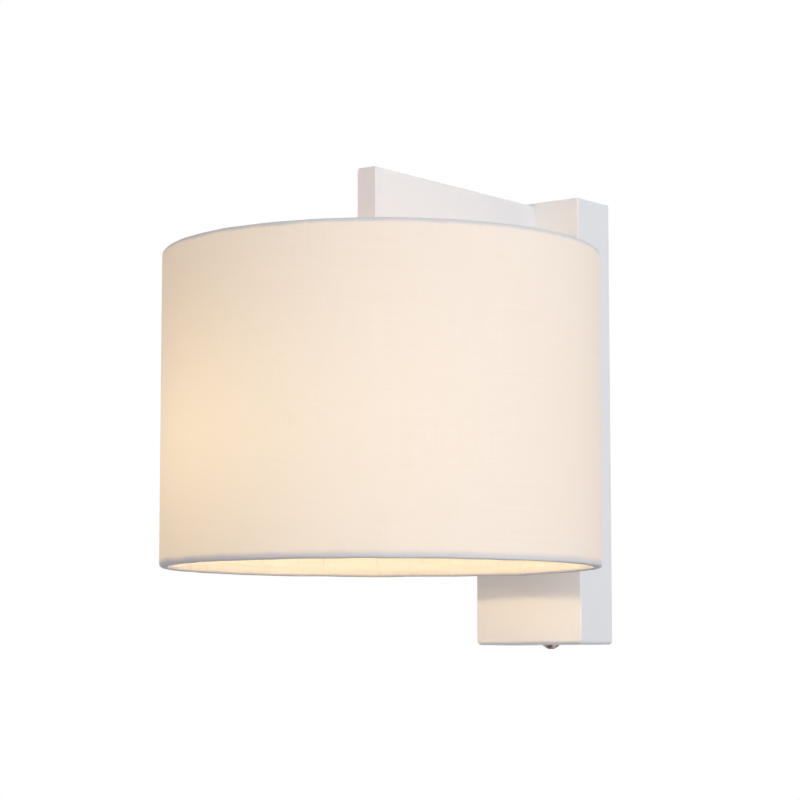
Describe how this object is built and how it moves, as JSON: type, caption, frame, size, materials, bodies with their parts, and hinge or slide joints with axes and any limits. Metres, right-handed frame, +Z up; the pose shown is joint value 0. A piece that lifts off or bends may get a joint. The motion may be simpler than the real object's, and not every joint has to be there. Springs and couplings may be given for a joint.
{
  "type": "wall light",
  "caption": "Wall light with a drum fabric shade hung from a flat arm on a slim upright wall box.",
  "frame": {"origin": "on the wall, at the middle of the wall bracket's back face, which is the middle of the box's back", "axes": "+X to the right as seen from the room, +Y into the wall, +Z up; the light reaches into the room along -Y"},
  "size_m": [0.2, 0.243, 0.2191],
  "materials": {
    "white_paint": "satin white powder coat",
    "plated_steel": "zinc plated",
    "chrome": "bright",
    "brass": "plain",
    "rubber": "matt",
    "nylon": "natural",
    "wire_brown": "silicone",
    "wire_blue": "silicone",
    "wire_green_yellow": "silicone",
    "holder_plastic": "moulded",
    "ceramic": "unglazed",
    "nickel": "nickel plated",
    "frame_wire": "white epoxy",
    "liner": "translucent styrene",
    "fabric": "plain weave cotton and linen",
    "glass": "clear",
    "black_glass": "fused glass",
    "phosphor": "coated"
  },
  "bodies": {
    "wall_light": {"wall_bracket": "plated_steel", "foot_bush": "plated_steel", "cable_grommet": "rubber", "terminal_block": "nylon", "terminal_clamps": "brass", "terminal_screws": "plated_steel", "block_screws": "plated_steel", "earth_stud": "plated_steel", "earth_washer": "plated_steel", "earth_nut": "plated_steel", "earth_tags": "brass", "earth_wire_block": "wire_green_yellow", "earth_wire_arm": "wire_green_yellow", "live_wire": "wire_brown", "neutral_wire": "wire_blue", "box_cover": "white_paint", "box_hook": "plated_steel", "cover_screw": "chrome", "arm_tube": "white_paint", "arm_end_cap": "white_paint", "arm_block": "plated_steel", "arm_backing_plate": "plated_steel", "arm_screws": "plated_steel", "arm_washers": "plated_steel", "wire_bush": "nylon", "lamp_nipple": "plated_steel", "nipple_nut": "plated_steel", "lampholder_cap": "holder_plastic", "lampholder_shell": "holder_plastic", "lampholder_insert": "ceramic", "lampholder_sleeve": "nickel", "lampholder_contact": "brass", "lampholder_posts": "brass", "post_screws": "plated_steel"},
    "shade": {"shade_spider": "frame_wire", "shade_top_hoop": "frame_wire", "shade_bottom_hoop": "frame_wire", "shade_liner": "liner", "shade_fabric": "fabric"},
    "clamp_ring": {"shade_ring": "holder_plastic"},
    "lamp": {"lamp_glass": "glass", "lamp_cap": "nickel", "lamp_insulator": "black_glass", "lamp_contact": "brass", "lamp_stem": "glass", "lamp_filaments": "phosphor", "lamp_supports": "nickel"}
  },
  "joints": [
    {"name": "shade_turn", "type": "hinge", "parent": "wall_light", "child": "shade", "pos_m": [0, -0.143, 0.054], "axis": [0, 0, 1], "continuous": true},
    {"name": "clamp_ring_turn", "type": "hinge", "parent": "wall_light", "child": "clamp_ring", "pos_m": [0, -0.143, 0.049], "axis": [0, 0, -1], "range_deg": [0, 2790]},
    {"name": "lamp_turn", "type": "hinge", "parent": "wall_light", "child": "lamp", "pos_m": [0, -0.143, 0.034], "axis": [0, 0, -1], "range_deg": [0, 990]}
  ]
}
